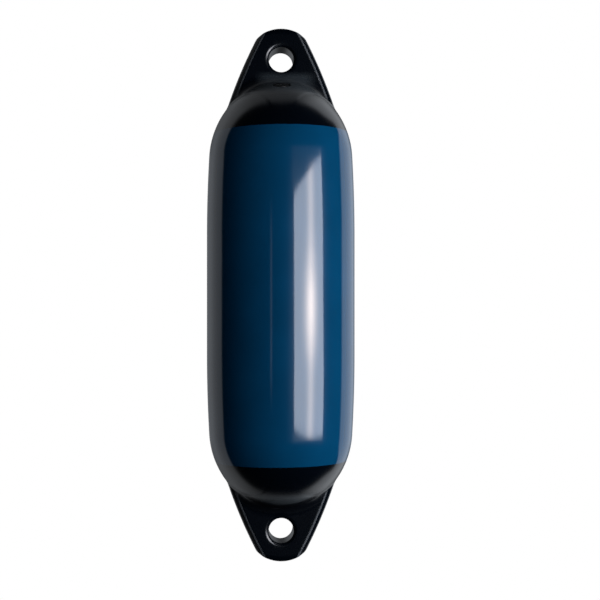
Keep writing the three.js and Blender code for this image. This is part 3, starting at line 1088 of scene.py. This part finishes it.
def side_light():
    """Soft panel far to the right that lights the barrel without showing in its gloss."""
    upright = Matrix.Rotation(math.pi / 2, 3, "X")
    turn = Matrix.Rotation(SIDE_LIGHT_TURN, 3, "Z")
    mesh = bmesh.new()
    bmesh.ops.create_grid(mesh, x_segments=1, y_segments=1, size=SIDE_LIGHT_HALF_SIZE)
    bmesh.ops.rotate(mesh, cent=(0, 0, 0), matrix=upright, verts=mesh.verts)
    bmesh.ops.translate(mesh, vec=(0, -SIDE_LIGHT_DISTANCE, 0), verts=mesh.verts)
    bmesh.ops.rotate(mesh, cent=(0, 0, 0), matrix=turn, verts=mesh.verts)
    panel = to_object(mesh, "side_light", smooth=False)
    panel.visible_camera = False
    panel.visible_glossy = False
    light = {"Color": (1, 1, 1, 1), "Strength": SIDE_LIGHT_STRENGTH}
    panel.data.materials.append(glow_material("side_glow", lambda canvas: light))


def floor_disc(height):
    """Pale floor under the fender, seen by the camera alone."""
    mesh = bmesh.new()
    bmesh.ops.create_circle(mesh, cap_ends=True, segments=96, radius=30)
    bmesh.ops.translate(mesh, vec=(0, 0, height), verts=mesh.verts)
    floor = to_object(mesh, "floor", smooth=False)
    floor.visible_glossy = False
    floor.visible_diffuse = False
    floor.visible_shadow = False
    paint = glow_material("floor_white", lambda canvas: {"Color": (1, 1, 1, 1), "Strength": 1.0})
    floor.data.materials.append(paint)


def studio_camera(scene, studio):
    """Level camera a little to the left of the front, framed as in the photograph."""
    lens = bpy.data.cameras.new("camera")
    lens.sensor_width = 36
    lens.lens = studio.lens
    lens.shift_x, lens.shift_y = CAMERA_SHIFT
    camera = bpy.data.objects.new("camera", lens)
    turn = studio.camera_azimuth
    camera.location = (
        math.sin(turn) * studio.camera_distance,
        -math.cos(turn) * studio.camera_distance,
        studio.camera_height,
    )
    camera.rotation_euler = (math.pi / 2, 0, turn)
    scene.collection.objects.link(camera)
    scene.camera = camera


class FENDER_OT_studio(bpy.types.Operator):
    """Set up the camera, the pale floor, the softbox and the light of the studio"""

    bl_idname = "fender.studio"
    bl_label = "Studio"

    def execute(self, context):
        scene = context.scene
        studio = scene.fender_studio
        scene.view_settings.view_transform = "Standard"
        scene.view_settings.look = "None"
        studio_world(scene)
        softbox(studio)
        side_light()
        floor_disc(-scene.fender_shell_sizes.length / 2 - 0.0005)
        studio_camera(scene, studio)
        return {"FINISHED"}


class FENDER_PT_panel(bpy.types.Panel):
    """Sizes, finish and build buttons of the fender"""

    bl_idname = "FENDER_PT_panel"
    bl_label = "Boat fender"
    bl_space_type = "VIEW_3D"
    bl_region_type = "UI"
    bl_category = "Fender"

    def draw(self, context):
        for group in GROUPS:
            box = self.layout.box()
            settings = getattr(context.scene, group)
            for name in settings.bl_rna.properties.keys():
                if name not in {"rna_type", "name"}:
                    box.prop(settings, name)
        for operator in OPERATORS:
            self.layout.operator(operator.bl_idname)


GROUPS = {
    "fender_shell_sizes": FenderShellSizes,
    "fender_finish": FenderFinish,
    "fender_valve_sizes": FenderValveSizes,
    "fender_studio": FenderStudio,
}
OPERATORS = (
    FENDER_OT_shell,
    FENDER_OT_valve_bush,
    FENDER_OT_seal_ring,
    FENDER_OT_screw_plug,
    FENDER_OT_studio,
)


def register():
    for group in GROUPS.values():
        bpy.utils.register_class(group)
    for name, group in GROUPS.items():
        setattr(bpy.types.Scene, name, PointerProperty(type=group))
    for operator in OPERATORS:
        bpy.utils.register_class(operator)
    bpy.utils.register_class(FENDER_PT_panel)


def unregister():
    bpy.utils.unregister_class(FENDER_PT_panel)
    for operator in reversed(OPERATORS):
        bpy.utils.unregister_class(operator)
    for name in GROUPS:
        delattr(bpy.types.Scene, name)
    for group in reversed(GROUPS.values()):
        bpy.utils.unregister_class(group)


def main():
    register()
    bpy.ops.fender.shell()
    bpy.ops.fender.valve_bush()
    bpy.ops.fender.seal_ring()
    bpy.ops.fender.screw_plug()
    bpy.ops.fender.studio()


if __name__ == "__main__":
    main()
